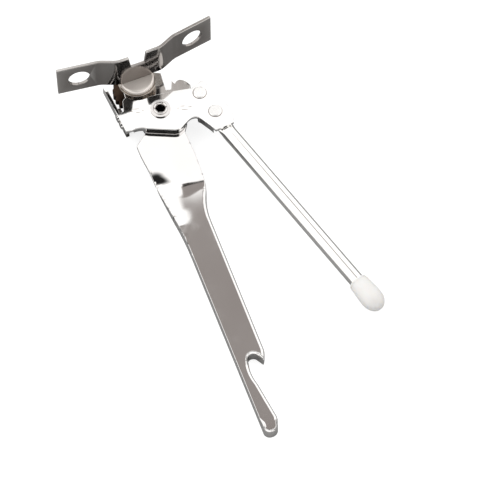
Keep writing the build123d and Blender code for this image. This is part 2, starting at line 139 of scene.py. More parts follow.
def round_edges(piece: bpy.types.Object, width: float, angle: float = CREASE_ANGLE) -> None:
    """Rounds a piece's sharp edges and evens its normals.

    Args:
        piece: The piece.
        width: Width of the rounding, in metres.
        angle: Edges sharper than this, in degrees, are rounded.
    """
    bevel = piece.modifiers.new("edge_round", "BEVEL")
    bevel.width = width
    bevel.segments = EDGE_STEPS
    bevel.limit_method = "ANGLE"
    bevel.angle_limit = math.radians(angle)
    bevel.use_clamp_overlap = False
    bevel.miter_outer = "MITER_ARC"
    normals = piece.modifiers.new("even_normals", "WEIGHTED_NORMAL")
    normals.keep_sharp = True


def joined_mesh(node: str) -> bmesh.types.BMesh:
    """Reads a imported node's mesh, joins its split corners and merges its flat faces.

    Args:
        node: The node's name.

    Returns:
        The joined mesh, for the caller to free.
    """
    work = bmesh.new()
    work.from_mesh(frame["nodes"][node].data)
    bmesh.ops.remove_doubles(work, verts=work.verts, dist=WELD)
    bmesh.ops.dissolve_degenerate(work, edges=work.edges, dist=WELD)
    bmesh.ops.dissolve_limit(
        work, angle_limit=math.radians(FLAT_ANGLE), verts=work.verts, edges=work.edges)
    return work


def finish_mesh(work: bmesh.types.BMesh, name: str) -> bpy.types.Object:
    """Turns a working mesh into a linked piece and frees it.

    Args:
        work: The working mesh.
        name: The piece's name.

    Returns:
        The linked piece.
    """
    bmesh.ops.recalc_face_normals(work, faces=work.faces)
    mesh = bpy.data.meshes.new(name)
    work.to_mesh(mesh)
    work.free()
    return link_object(name, mesh)


def skin_rings(work: bmesh.types.BMesh, rings: list[list[bmesh.types.BMVert]]) -> None:
    """Joins closed loops of points, each to the next and the last to the first, with faces.

    Args:
        work: The working mesh.
        rings: The loops, all with the same number of points.
    """
    for near, far in zip(rings, rings[1:] + rings[:1]):
        for j in range(len(near)):
            k = (j + 1) % len(near)
            work.faces.new((near[j], far[j], far[k], near[k]))


def turned(
    name: str,
    profile: list[Pair],
    steps: int,
    shape: Callable[[float, float, float], Pair],
) -> bpy.types.Object:
    """Turns a closed profile about Z.

    Args:
        name: The piece's name.
        profile: Radius and height of each point, in metres, as a closed loop.
        steps: Steps round the axis.
        shape: Changes a point's radius and height by its angle.

    Returns:
        The linked piece.
    """
    work = bmesh.new()
    rings = []
    for i in range(steps):
        angle = 2.0 * math.pi * i / steps
        ring = []
        for point in profile:
            radius, height = shape(*point, angle)
            ring.append(work.verts.new((radius * math.cos(angle), radius * math.sin(angle), height)))
        rings.append(ring)
    skin_rings(work, rings)
    bmesh.ops.remove_doubles(work, verts=work.verts, dist=WELD / 2.0)
    return finish_mesh(work, name)


# ---- shared shader effects -----------------------------------------------------
class Effects:
    """Shader node groups that the finishes share, each built once."""

    def __init__(self) -> None:
        """Builds the groups."""
        self.handling = self._handling_group()
        self.grain = self._grain_group()
        self.wear = self._wear_group()

    @staticmethod
    def _socket(group: bpy.types.NodeTree, name: str, way: str, kind: str, value: object = None) -> None:
        """Adds one named input or output.

        Args:
            group: The node group.
            name: The socket's name.
            way: INPUT or OUTPUT.
            kind: Float, Vector or Color.
            value: Its starting value.
        """
        socket = group.interface.new_socket(name=name, in_out=way, socket_type=f"NodeSocket{kind}")
        if value is not None:
            socket.default_value = value

    def _handling_group(self) -> bpy.types.NodeTree:
        """Soft smudges and faint cloudiness left by hands and by the plating bath.

        Returns:
            A group with the outputs Smudge and Cloud, both 0 to 1.
        """
        group = bpy.data.node_groups.new("handling_marks", "ShaderNodeTree")
        self._socket(group, "Scale", "INPUT", "Float", 60.0)
        self._socket(group, "Smudge", "OUTPUT", "Float")
        self._socket(group, "Cloud", "OUTPUT", "Float")
        nodes, links = group.nodes, group.links
        enter, leave = nodes.new("NodeGroupInput"), nodes.new("NodeGroupOutput")
        place = nodes.new("ShaderNodeTexCoord")
        for name, factor, low, high, detail in (
            ("Smudge", 1.0, 0.5, 0.72, 5.0),
            ("Cloud", 0.35, 0.3, 0.7, 2.0),
        ):
            scale = nodes.new("ShaderNodeMath")
            scale.operation = "MULTIPLY"
            scale.inputs[1].default_value = factor
            noise = nodes.new("ShaderNodeTexNoise")
            noise.inputs["Detail"].default_value = detail
            noise.inputs["Roughness"].default_value = 0.62
            spread = nodes.new("ShaderNodeMapRange")
            spread.interpolation_type = "SMOOTHSTEP"
            spread.inputs["From Min"].default_value = low
            spread.inputs["From Max"].default_value = high
            links.new(enter.outputs["Scale"], scale.inputs[0])
            links.new(scale.outputs[0], noise.inputs["Scale"])
            links.new(place.outputs["Object"], noise.inputs["Vector"])
            links.new(noise.outputs["Fac"], spread.inputs["Value"])
            links.new(spread.outputs["Result"], leave.inputs[name])
        return group

    def _grain_group(self) -> bpy.types.NodeTree:
        """Fine lines left by rolling, drawing or turning.

        Returns:
            A group whose Height output is 0 to 1.
        """
        group = bpy.data.node_groups.new("tool_lines", "ShaderNodeTree")
        self._socket(group, "Stretch", "INPUT", "Vector", Lay.EVEN.value)
        self._socket(group, "Scale", "INPUT", "Float", 100.0)
        self._socket(group, "Height", "OUTPUT", "Float")
        nodes, links = group.nodes, group.links
        enter, leave = nodes.new("NodeGroupInput"), nodes.new("NodeGroupOutput")
        place = nodes.new("ShaderNodeTexCoord")
        stretch = nodes.new("ShaderNodeVectorMath")
        stretch.operation = "MULTIPLY"
        noise = nodes.new("ShaderNodeTexNoise")
        noise.inputs["Detail"].default_value = 4.0
        noise.inputs["Roughness"].default_value = 0.7
        links.new(place.outputs["Object"], stretch.inputs[0])
        links.new(enter.outputs["Stretch"], stretch.inputs[1])
        links.new(stretch.outputs["Vector"], noise.inputs["Vector"])
        links.new(enter.outputs["Scale"], noise.inputs["Scale"])
        links.new(noise.outputs["Fac"], leave.inputs["Height"])
        return group

    def _wear_group(self) -> bpy.types.NodeTree:
        """Rubbed edges, read from how sharply the surface turns.

        Returns:
            A group whose Edge output is 0 to 1.
        """
        group = bpy.data.node_groups.new("rubbed_edges", "ShaderNodeTree")
        self._socket(group, "Start", "INPUT", "Float", 0.52)
        self._socket(group, "End", "INPUT", "Float", 0.6)
        self._socket(group, "Edge", "OUTPUT", "Float")
        nodes, links = group.nodes, group.links
        enter, leave = nodes.new("NodeGroupInput"), nodes.new("NodeGroupOutput")
        shape = nodes.new("ShaderNodeNewGeometry")
        spread = nodes.new("ShaderNodeMapRange")
        spread.interpolation_type = "SMOOTHSTEP"
        links.new(shape.outputs["Pointiness"], spread.inputs["Value"])
        links.new(enter.outputs["Start"], spread.inputs["From Min"])
        links.new(enter.outputs["End"], spread.inputs["From Max"])
        links.new(spread.outputs["Result"], leave.inputs["Edge"])
        return group


@dataclass(frozen=True)
class MetalFinish:
    """A plated, turned or blackened metal.

    Attributes:
        slot: The record's material slot.
        colour: The clean metal.
        cloud_colour: The metal where the plating is cloudy or soiled.
        edge_colour: The metal along its rubbed edges.
        roughness: Of the clean metal.
        smudge_roughness: Of the smudged metal.
        lay: Direction of its tool lines.
        line_scale: How fine they are.
        line_depth: How deep they are, in metres.
        marks_scale: How fine the handling marks are.
        metal: How metallic it is; a finely turned, dulled face is less than 1.
    """

    slot: str
    colour: Colour
    cloud_colour: Colour
    edge_colour: Colour
    roughness: float
    smudge_roughness: float
    lay: Lay = Lay.EVEN
    line_scale: float = 40.0
    line_depth: float = 1.0e-6
    marks_scale: float = 60.0
    metal: float = 1.0

    def material(self, effects: Effects) -> bpy.types.Material:
        """Builds the finish's material.

        Args:
            effects: The shared node groups.

        Returns:
            The material.
        """
        made = bpy.data.materials.new(self.slot)
        made.use_nodes = True
        nodes, links = made.node_tree.nodes, made.node_tree.links
        shader = nodes["Principled BSDF"]
        shader.inputs["Metallic"].default_value = self.metal
        handling = nodes.new("ShaderNodeGroup")
        handling.node_tree = effects.handling
        handling.inputs["Scale"].default_value = self.marks_scale
        lines = nodes.new("ShaderNodeGroup")
        lines.node_tree = effects.grain
        lines.inputs["Stretch"].default_value = self.lay.value
        lines.inputs["Scale"].default_value = self.line_scale
        wear = nodes.new("ShaderNodeGroup")
        wear.node_tree = effects.wear
        cloudy = self._mix(made, self.colour, self.cloud_colour)
        links.new(handling.outputs["Cloud"], cloudy.inputs["Factor"])
        rubbed = self._mix(made, self.colour, self.edge_colour)
        links.new(wear.outputs["Edge"], rubbed.inputs["Factor"])
        links.new(cloudy.outputs["Result"], rubbed.inputs["A"])
        links.new(rubbed.outputs["Result"], shader.inputs["Base Color"])
        rough = nodes.new("ShaderNodeMapRange")
        rough.inputs["To Min"].default_value = self.roughness
        rough.inputs["To Max"].default_value = self.smudge_roughness
        links.new(handling.outputs["Smudge"], rough.inputs["Value"])
        links.new(rough.outputs["Result"], shader.inputs["Roughness"])
        bump = nodes.new("ShaderNodeBump")
        bump.inputs["Strength"].default_value = 1.0
        bump.inputs["Distance"].default_value = self.line_depth
        links.new(lines.outputs["Height"], bump.inputs["Height"])
        links.new(bump.outputs["Normal"], shader.inputs["Normal"])
        return made

    @staticmethod
    def _mix(made: bpy.types.Material, first: Colour, second: Colour) -> bpy.types.Node:
        """Adds a colour mix to a material.

        Args:
            made: The material.
            first: The colour at 0.
            second: The colour at 1.

        Returns:
            The mix node, whose colour sockets are the visible ones.
        """
        mix = made.node_tree.nodes.new("ShaderNodeMix")
        mix.data_type = "RGBA"
        mix.inputs["A"].default_value = (*first, 1.0)
        mix.inputs["B"].default_value = (*second, 1.0)
        return mix


@dataclass(frozen=True)
class MouldedFinish:
    """Soft, slightly translucent moulded plastic.

    Attributes:
        slot: The record's material slot.
        colour: The clean plastic.
        cloud_colour: Where it has yellowed.
        roughness: Of the moulded skin.
        smudge_roughness: Where it has been handled.
        depth: How far light spreads in it, in metres.
    """

    slot: str
    colour: Colour
    cloud_colour: Colour
    roughness: float
    smudge_roughness: float
    depth: float

    def material(self, effects: Effects) -> bpy.types.Material:
        """Builds the finish's material.

        Args:
            effects: The shared node groups.

        Returns:
            The material.
        """
        made = bpy.data.materials.new(self.slot)
        made.use_nodes = True
        nodes, links = made.node_tree.nodes, made.node_tree.links
        shader = nodes["Principled BSDF"]
        shader.inputs["Subsurface Weight"].default_value = 0.55
        shader.inputs["Subsurface Radius"].default_value = (1.0, 0.85, 0.7)
        shader.inputs["Subsurface Scale"].default_value = self.depth
        handling = nodes.new("ShaderNodeGroup")
        handling.node_tree = effects.handling
        handling.inputs["Scale"].default_value = 220.0
        tint = MetalFinish._mix(made, self.colour, self.cloud_colour)
        links.new(handling.outputs["Cloud"], tint.inputs["Factor"])
        links.new(tint.outputs["Result"], shader.inputs["Base Color"])
        rough = nodes.new("ShaderNodeMapRange")
        rough.inputs["To Min"].default_value = self.roughness
        rough.inputs["To Max"].default_value = self.smudge_roughness
        links.new(handling.outputs["Smudge"], rough.inputs["Value"])
        links.new(rough.outputs["Result"], shader.inputs["Roughness"])
        skin = nodes.new("ShaderNodeGroup")
        skin.node_tree = effects.grain
        skin.inputs["Scale"].default_value = 25.0
        bump = nodes.new("ShaderNodeBump")
        bump.inputs["Distance"].default_value = 4.0e-6
        links.new(skin.outputs["Height"], bump.inputs["Height"])
        links.new(bump.outputs["Normal"], shader.inputs["Normal"])
        return made


FINISHES: tuple[MetalFinish | MouldedFinish, ...] = (
    MetalFinish("flat_handle_steel", (0.86, 0.85, 0.84), (0.80, 0.78, 0.77), (0.80, 0.79, 0.78),
                0.06, 0.13, Lay.ALONG_Y, 12.0, 0.8e-6),
    MetalFinish("front_plate_steel", (0.93, 0.92, 0.91), (0.90, 0.89, 0.88), (0.85, 0.84, 0.83),
                0.07, 0.14, Lay.ALONG_X, 12.0, 0.8e-6),
    MetalFinish("rod_chrome", (0.93, 0.92, 0.91), (0.88, 0.87, 0.85), (0.85, 0.84, 0.82),
                0.05, 0.1, Lay.ALONG_Y, 10.0, 0.6e-6),
    MetalFinish("rivet_steel", (0.90, 0.89, 0.88), (0.86, 0.85, 0.84), (0.80, 0.79, 0.78),
                0.12, 0.2, Lay.EVEN, 30.0, 1.0e-6),
    MetalFinish("eyelet_steel", (0.80, 0.79, 0.78), (0.62, 0.58, 0.56), (0.75, 0.73, 0.72),
                0.14, 0.26, Lay.EVEN, 60.0, 2.0e-6, 260.0),
    MetalFinish("washer_steel", (0.42, 0.38, 0.34), (0.34, 0.29, 0.25), (0.62, 0.58, 0.54),
                0.22, 0.36, Lay.EVEN, 60.0, 3.0e-6, 200.0),
    MetalFinish("shaft_steel", (0.86, 0.81, 0.76), (0.80, 0.74, 0.69), (0.86, 0.82, 0.78),
                0.34, 0.44, Lay.ALONG_X, 30.0, 2.0e-6, 160.0, 0.6),
    MetalFinish("key_steel", (0.36, 0.34, 0.325), (0.31, 0.285, 0.27), (0.72, 0.70, 0.68),
                0.1, 0.2, Lay.ALONG_X, 16.0, 1.6e-6, 110.0),
    MetalFinish("wheel_steel", (0.05, 0.032, 0.022), (0.025, 0.015, 0.012), (0.16, 0.10, 0.07),
                0.3, 0.5, Lay.EVEN, 70.0, 8.0e-6, 300.0),
    MetalFinish("blade_steel", (0.28, 0.25, 0.23), (0.16, 0.13, 0.11), (0.55, 0.52, 0.5),
                0.2, 0.34, Lay.ALONG_Z, 30.0, 3.0e-6, 200.0),
    MouldedFinish("cap_plastic", (0.80, 0.79, 0.775), (0.76, 0.75, 0.735), 0.32, 0.45, 1.2 * MM),
)


class Workshop:
    """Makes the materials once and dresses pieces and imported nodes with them."""

    def __init__(self) -> None:
        """Builds every finish's material."""
        effects = Effects()
        self.materials = {finish.slot: finish.material(effects) for finish in FINISHES}
        record = frame["record"]
        self.slot_of = {part["node"]: part["material_slot"] for part in record["subparts"]}

    def dress_node(self, node: str) -> None:
        """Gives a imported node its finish.

        Args:
            node: The node's name.
        """
        for slot in frame["nodes"][node].material_slots:
            slot.material = self.materials[self.slot_of[node]]
        LOG.info("dressed %s", node)

    def fit(self, piece: bpy.types.Object, node: str, body: Body) -> None:
        """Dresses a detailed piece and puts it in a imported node's place.

        Args:
            piece: The detailed piece.
            node: The node that it stands for.
            body: The body that it moves with.
        """
        self.add(piece, self.slot_of[node], body)
        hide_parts(node)

    def add(self, piece: bpy.types.Object, slot: str, body: Body) -> None:
        """Dresses an extra piece and lets it move with a body.

        Args:
            piece: The piece.
            slot: The record's material slot.
            body: The body that it moves with.
        """
        piece.data.materials.clear()
        piece.data.materials.append(self.materials[slot])
        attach(piece, body.value)
        LOG.info("made %s", piece.name)


# ---- sub-assemblies --------------------------------------------------------------
@dataclass
class FlatHandle:
    """The stamped head plate and grip, with the pressed saddle of its neck.

    Attributes:
        sheet: Thickness of the sheet.
        drop: How far the grip lies below the head plate.
        step_from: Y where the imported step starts.
        step_to: Y where it ends.
        step_round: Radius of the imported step's bends.
        neck_from: Y where the neck's fine cuts start.
        neck_to: Y where the neck has faded into the grip.
        saddle_y: Y of the saddle's upper crease, where its slope starts.
        run_left: Length of the slope and of its foot bend at the left edge.
        run_middle: The same at the ridge.
        run_right: The same at the right edge.
        crease: Slope just below the saddle's upper crease.
        deepen: Length over which the slope then steepens.
        ridge_x: X of the saddle's ridge.
        left_x: X of the left edge.
        right_x: X of the right edge.
        left_fall: How far the left edge is pressed down.
        fall_x: X where that pressing starts.
        fall_grow: Distances below the crease over which the pressing grows.
        fall_fade: Length over which it fades, above neck_to.
        shoulder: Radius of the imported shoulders.
        tight_left: Share of that radius kept on the left side.
        tight_right: Share of it kept on the right side where the shoulders start.
        tight_grow: Length over which the right shoulder grows to its full radius.
        cut_along: Spacing of the neck's cuts along it.
        cut_across: Spacing of its cuts across, from first_cut to last_cut.
        first_cut: Number of the first cut across, counted from X = 0.
        last_cut: Number of the last.
        cut_margin: How far past the neck's ends the cuts across reach.
        grip_step: Spacing of the cuts along the grip.
        tip_y: Y where the tip's rounding starts.
        touch: Slack for finding the shoulders' points.
        snap: Points nearer than this to the sheet's faces are put on them.
        merge: Points nearer than this are merged once the shape is pressed.
        edge: Rounding of the sheet's edges.
    """

    sheet: float = 1.8 * MM
    drop: float = 2.5 * MM
    step_from: float = -24.0 * MM
    step_to: float = -33.0 * MM
    step_round: float = 9.0 * MM
    neck_from: float = -17.0 * MM
    neck_to: float = -55.0 * MM
    saddle_y: float = -24.8 * MM
    run_left: Pair = (9.2 * MM, 3.5 * MM)
    run_middle: Pair = (16.5 * MM, 7.0 * MM)
    run_right: Pair = (14.0 * MM, 4.0 * MM)
    crease: float = 0.2
    deepen: float = 4.0 * MM
    ridge_x: float = -0.5 * MM
    left_x: float = -11.0 * MM
    right_x: float = 8.8 * MM
    left_fall: float = 0.75 * MM
    fall_x: float = 2.5 * MM
    fall_grow: Pair = (5.0 * MM, 13.0 * MM)
    fall_fade: float = 9.0 * MM
    shoulder: float = 1.5 * MM
    tight_left: float = 0.0
    tight_right: float = 0.15
    tight_grow: float = 13.0 * MM
    cut_along: float = 0.6 * MM
    cut_across: float = 0.8 * MM
    first_cut: int = -15
    last_cut: int = 11
    cut_margin: float = 4.0 * MM
    grip_step: float = 3.0 * MM
    tip_y: float = -150.0 * MM
    touch: float = 0.02 * MM
    snap: float = 0.3 * MM
    merge: float = 0.03 * MM
    edge: float = 0.2 * MM

    def packed_height(self, y: float) -> float:
        """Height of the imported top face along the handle.

        Args:
            y: Where to read it.

        Returns:
            The height, 0 at the head plate.
        """
        slope = math.atan2(self.drop, self.step_from - self.step_to)
        reach = self.step_round * math.tan(slope / 2.0)
        if y >= self.step_from + reach:
            return 0.0
        if y <= self.step_to - reach:
            return -self.drop
        if y > self.step_from - reach * math.cos(slope):
            run = y - self.step_from - reach
            return math.sqrt(self.step_round**2 - run**2) - self.step_round
        if y < self.step_to + reach * math.cos(slope):
            run = y - self.step_to + reach
            return self.step_round - math.sqrt(self.step_round**2 - run**2) - self.drop
        return (y - self.step_from) * math.tan(slope)

    def pressed_height(self, x: float, y: float) -> float:
        """Height of the saddle's top face.

        Args:
            x: Across the handle.
            y: Along it.

        Returns:
            The height, 0 at the head plate.
        """
        side = self.left_x if x < self.ridge_x else self.right_x
        end = self.run_left if x < self.ridge_x else self.run_right
        share = ease(x, self.ridge_x, side)
        run, foot = (m + (e - m) * share for m, e in zip(self.run_middle, end))
        early = self.crease * self.deepen / 2.0
        steep = (self.drop - early) / (run - self.deepen / 2.0 - foot / 2.0)
        down = min(max(self.saddle_y - y, 0.0), run)
        if down < self.deepen:
            height = self.crease * down + (steep - self.crease) * down**2 / (2.0 * self.deepen)
        elif down < run - foot:
            height = early + steep * (down - self.deepen / 2.0)
        else:
            height = self.drop - steep * (run - down) ** 2 / (2.0 * foot)
        lean = max(0.0, (self.fall_x - x) / (self.fall_x - self.left_x))
        grown = ease(y, self.saddle_y - self.fall_grow[0], self.saddle_y - self.fall_grow[1])
        left = ease(y, self.neck_to, self.neck_to + self.fall_fade)
        return -height - self.left_fall * grown * left * lean * lean

    def build(self, shop: Workshop) -> None:
        """Builds and dresses the handle.

        Args:
            shop: The workshop.
        """
        work = joined_mesh("flat_handle")
        rows = self._rows()
        for y in rows:
            self._slice(work, Vector((0.0, y, 0.0)), Vector((0.0, 1.0, 0.0)), CAD_BOUNDS[0].y - MM)
        for i in range(self.first_cut, self.last_cut + 1):
            cut = Vector((i * self.cut_across, 0.0, 0.0))
            self._slice(work, cut, Vector((1.0, 0.0, 0.0)), self.neck_to - self.cut_margin)
        walls = self._walls(work, rows)
        for vert in work.verts:
            if vert.co.y < self.neck_from:
                self._press(vert, walls)
            if vert.co.y < self.step_to + self.touch / 2.0:
                self._tighten(vert, walls)
        bmesh.ops.remove_doubles(work, verts=work.verts, dist=self.merge)
        bmesh.ops.dissolve_degenerate(work, edges=work.edges, dist=WELD)
        piece = finish_mesh(work, "flat_handle_stamping")
        shade(piece)
        self._mark_crease(piece)
        round_edges(piece, self.edge)
        shop.fit(piece, "flat_handle", Body.FRAME)

    def _rows(self) -> list[float]:
        """Works out where the cuts across the handle's length are.

        Returns:
            Their Y, close together on the neck and wider apart on the grip.
        """
        fine = int((self.neck_from - self.neck_to) / self.cut_along)
        wide = int((self.neck_to - self.tip_y) / self.grip_step) + 2
        rows = [self.neck_from - i * self.cut_along for i in range(fine)]
        return rows + [self.neck_to - i * self.grip_step for i in range(wide)]

    def _mark_crease(self, piece: bpy.types.Object) -> None:
        """Keeps the saddle's upper crease sharp.

        Args:
            piece: The handle.
        """
        points = piece.data.vertices
        for edge in piece.data.edges:
            if all(abs(points[i].co.y - self.saddle_y) < WELD / 2.0 for i in edge.vertices):
                edge.use_edge_sharp = True

    def _press(self, vert: bmesh.types.BMVert, walls: list[Triple]) -> None:
        """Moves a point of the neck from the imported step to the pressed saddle.

        Args:
            vert: The point.
            walls: Rows of Y, left X and right X.
        """
        above = vert.co.z - self.packed_height(vert.co.y)
        left, right = self._row(walls, vert.co.y)
        reach = self.shoulder + self.touch
        rounded = vert.co.y < self.step_to and min(vert.co.x - left, right - vert.co.x) < reach
        for level in (0.0, -self.sheet):
            if not rounded and abs(above - level) < self.snap:
                above = level
        vert.co.z = above + self.pressed_height(vert.co.x, vert.co.y)

    def _tighten(self, vert: bmesh.types.BMVert, walls: list[Triple]) -> None:
        """Draws a packed shoulder in towards its corner.

        Args:
            vert: The point.
            walls: Rows of Y, left X and right X.
        """
        top = self.pressed_height(vert.co.x, vert.co.y)
        if vert.co.z < top - self.shoulder - 2.5 * self.touch or vert.co.y < self.tip_y:
            return
        grown = ease(vert.co.y, self.step_to, self.step_to - self.tight_grow)
        share_right = self.tight_right + (1.0 - self.tight_right) * grown
        left, right = self._row(walls, vert.co.y)
        for corner, share in ((left, self.tight_left), (right, share_right)):
            if abs(vert.co.x - corner) < self.shoulder + self.touch:
                below = (vert.co.z - top) * share
                vert.co.x = corner + (vert.co.x - corner) * share
                vert.co.z = self.pressed_height(vert.co.x, vert.co.y) + below

    def _walls(self, work: bmesh.types.BMesh, rows: list[float]) -> list[Triple]:
        """Reads where the handle's sides are at each cut.

        Args:
            work: The cut mesh.
            rows: Y of the cuts.

        Returns:
            Y, left X and right X of each cut, from the head to the tip.
        """
        found = {round(y / MM, 2): [1.0, -1.0] for y in rows}
        for vert in work.verts:
            row = found.get(round(vert.co.y / MM, 2))
            if row:
                row[0] = min(row[0], vert.co.x)
                row[1] = max(row[1], vert.co.x)
        return [(y * MM, left, right) for y, (left, right) in found.items() if left < right]

    def _row(self, walls: list[Triple], y: float) -> Pair:
        """Reads the handle's sides at any Y.

        Args:
            walls: Rows of Y, left X and right X, with Y falling.
            y: Where to read.

        Returns:
            The left and right X, or a metre each way where there are no rows.
        """
        for (y0, left0, right0), (y1, left1, right1) in zip(walls, walls[1:]):
            if y0 >= y >= y1:
                t = (y0 - y) / (y0 - y1)
                return left0 + (left1 - left0) * t, right0 + (right1 - right0) * t
        return -1.0, 1.0

    def _slice(self, work: bmesh.types.BMesh, point: Vector, normal: Vector, low: float) -> None:
        """Cuts the faces from the neck downwards along a plane.

        Args:
            work: The working mesh.
            point: A point on the plane.
            normal: The plane's normal.
            low: Y below which no face is cut.
        """
        high = self.neck_from + self.cut_margin
        faces = [
            f for f in work.faces
            if min(v.co.y for v in f.verts) < high and max(v.co.y for v in f.verts) > low
        ]
        edges = {e for f in faces for e in f.edges}
        verts = {v for f in faces for v in f.verts}
        geometry = list(faces) + list(edges) + list(verts)
        bmesh.ops.bisect_plane(work, geom=geometry, dist=1e-7, plane_co=point, plane_no=normal)


@dataclass
class Eyelet:
    """The hollow pivot rivet, with its rolled head split into petals.

    Attributes:
        bore: Radius of its bore.
        shank: Radius of its shank.
        head: Radius of the rolled head.
        mouth: Radius where the roll turns down into the bore.
        foot: Radius of the foot under the head plate.
        foot_height: The foot's height.
        petals: How many splits the roll has.
        split: How far a split opens.
        swell: How far a petal's middle bulges.
        sink: How far a split's floor lies below the roll.
    """

    bore: float = 1.75 * MM
    shank: float = 2.5 * MM
    head: float = 3.12 * MM
    mouth: float = 2.35 * MM
    foot: float = 3.6 * MM
    foot_height: float = 0.8 * MM
    petals: int = 6
    split: float = 0.42 * MM
    swell: float = 0.22 * MM
    sink: float = 0.35 * MM

    def build(self, shop: Workshop) -> None:
        """Builds and dresses the rivet.

        Args:
            shop: The workshop.
        """
        low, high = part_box("pivot_rivet")
        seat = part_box("pivot_washer")[1].z
        sole = low.z + self.foot_height
        top = high.z
        mid = (seat + top) / 2.0
        profile = [
            (self.bore, low.z + 0.3 * MM), (self.bore + 0.3 * MM, low.z), (self.foot - 0.4 * MM, low.z),
            (self.foot, low.z + 0.3 * MM), (self.foot, sole), (self.shank, sole), (self.shank, seat),
            (self.head - 0.25 * MM, seat), (self.head, seat + 0.25 * MM), (self.head, mid),
            (self.head - 0.12 * MM, top - 0.22 * MM), (self.head - 0.32 * MM, top - 0.05 * MM),
            (self.head - 0.44 * MM, top), (self.mouth + 0.08 * MM, top - 0.1 * MM),
            (self.mouth - 0.15 * MM, top - 0.4 * MM),
            (self.bore + 0.12 * MM, seat), (self.bore, seat - 0.9 * MM),
        ]
        piece = turned("pivot_eyelet", profile, 144, self._petal)
        shade(piece, 50.0)
        shop.fit(piece, "pivot_rivet", Body.FRAME)

    def _petal(self, radius: float, height: float, angle: float) -> Pair:
        """Opens the splits between the petals.

        Args:
            radius: Radius on the plain profile.
            height: Height on it.
            angle: Angle round the axis.

        Returns:
            The radius and height of the split roll.
        """
        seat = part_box("pivot_washer")[1].z
        if radius > self.mouth and height <= seat:
            return radius, height
        inner = ease(radius, 2.8 * MM, 2.3 * MM) * ease(height, seat - 0.6 * MM, seat + 0.2 * MM)
        gap = abs(math.sin(self.petals * angle / 2.0 + 0.3)) ** 0.5
        slot = (1.0 - ease(gap, 0.25, 0.62)) * inner
        bulge = (gap - 0.5) * self.swell * inner
        return radius + self.split * slot - bulge, height - self.sink * slot


@dataclass
class SwingHead:
    """The front plate, its rivets, the blade, the plain pressed strokes beside the pivot and the
    near-black rings of painted shade round the rivet heads.

    Attributes:
        edge: Rounding of the sheet's edges.
        stroke_height: How far a stroke stands proud.
        stroke_width: Width of a stroke.
        stroke_turn: Angle of a row of strokes, degrees.
        strokes: Distance from the pivot, sideways offset and length of each stroke.
        rivet_head: Radius of a rivet's head.
        rim_shade: Inner, crest and outer edge of the near-black ring of painted shade round a rivet
            head, measured from the head's rim.
        rim_shade_height: The ring's height.
        rim_shade_steps: Steps round a ring.
    """

    edge: float = 0.22 * MM
    stroke_height: float = 0.035 * MM
    stroke_width: float = 0.3 * MM
    stroke_turn: float = -12.0
    strokes: tuple[Triple, ...] = (
        (7.4 * MM, 0.0, 0.9 * MM), (9.4 * MM, 0.9 * MM, 2.4 * MM),
        (10.2 * MM, -0.8 * MM, 3.0 * MM), (12.4 * MM, 0.3 * MM, 1.8 * MM))
    rivet_head: float = 2.85 * MM
    rim_shade: Triple = (-0.1 * MM, 0.06 * MM, 0.14 * MM)
    rim_shade_height: float = 0.07 * MM
    rim_shade_steps: int = 64

    def build(self, shop: Workshop) -> None:
        """Builds and dresses the swinging head.

        Args:
            shop: The workshop.
        """
        for node, name, width, angle in (
            ("front_plate", "front_plate_stamping", self.edge, 40.0),
            ("cutter_blade", "cutter_blade_ground", 0.12 * MM, CREASE_ANGLE),
            ("handle_rivets", "handle_rivet_pair", 0.05 * MM, 50.0),
        ):
            piece = finish_mesh(joined_mesh(node), name)
            shade(piece, angle)
            round_edges(piece, width, angle=angle)
            shop.fit(piece, node, Body.SWING)
        shop.dress_node("blade_rivets")
        self._strokes(shop)
        self._rim_shades(shop)

    def _rim_shades(self, shop: Workshop) -> None:
        """Adds a thin near-black ring round each rivet's head where it meets the plate: painted shade
        for the crevice there.

        Args:
            shop: The workshop.
        """
        low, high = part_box("handle_rivets")
        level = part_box("pivot_washer")[0].z
        rim = self.rivet_head
        inner, crest, outer = (rim + offset for offset in self.rim_shade)
        section = ((inner, 0.0), (outer, 0.0), (crest, self.rim_shade_height), (inner, self.rim_shade_height))
        work = bmesh.new()
        for x, y in ((low.x + rim, high.y - rim), (high.x - rim, low.y + rim)):
            rings = []
            for i in range(self.rim_shade_steps):
                a = 2.0 * math.pi * i / self.rim_shade_steps
                rings.append([
                    work.verts.new((x + r * math.cos(a), y + r * math.sin(a), level + z))
                    for r, z in section])
            skin_rings(work, rings)
        piece = finish_mesh(work, "rivet_rim_shades")
        shade(piece, 40.0)
        # Painted shade: the raised ring takes the near-black wheel_steel finish to stand in for the
        # shade in the crevice round each rivet head.
        shop.add(piece, "wheel_steel", Body.SWING)

    def _strokes(self, shop: Workshop) -> None:
        """Adds two plain groups of short pressed strokes, one each side of the pivot.

        Args:
            shop: The workshop.
        """
        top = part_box("pivot_washer")[0].z - 0.1 * MM
        work = bmesh.new()
        for turn in (0.0, math.pi):
            spin = Matrix.Rotation(turn + math.radians(self.stroke_turn), 4, "Z")
            for distance, offset, length in self.strokes:
                shape = Matrix.Diagonal((length / 2.0, self.stroke_width / 2.0, self.stroke_height, 1.0))
                place = Matrix.Translation((distance, offset, 0.0))
                bmesh.ops.create_icosphere(work, subdivisions=3, radius=1.0, matrix=spin @ place @ shape)
        for vert in work.verts:
            vert.co.z += top
        piece = finish_mesh(work, "pressed_strokes")
        shade(piece, 60.0)
        shop.add(piece, "washer_steel", Body.SWING)


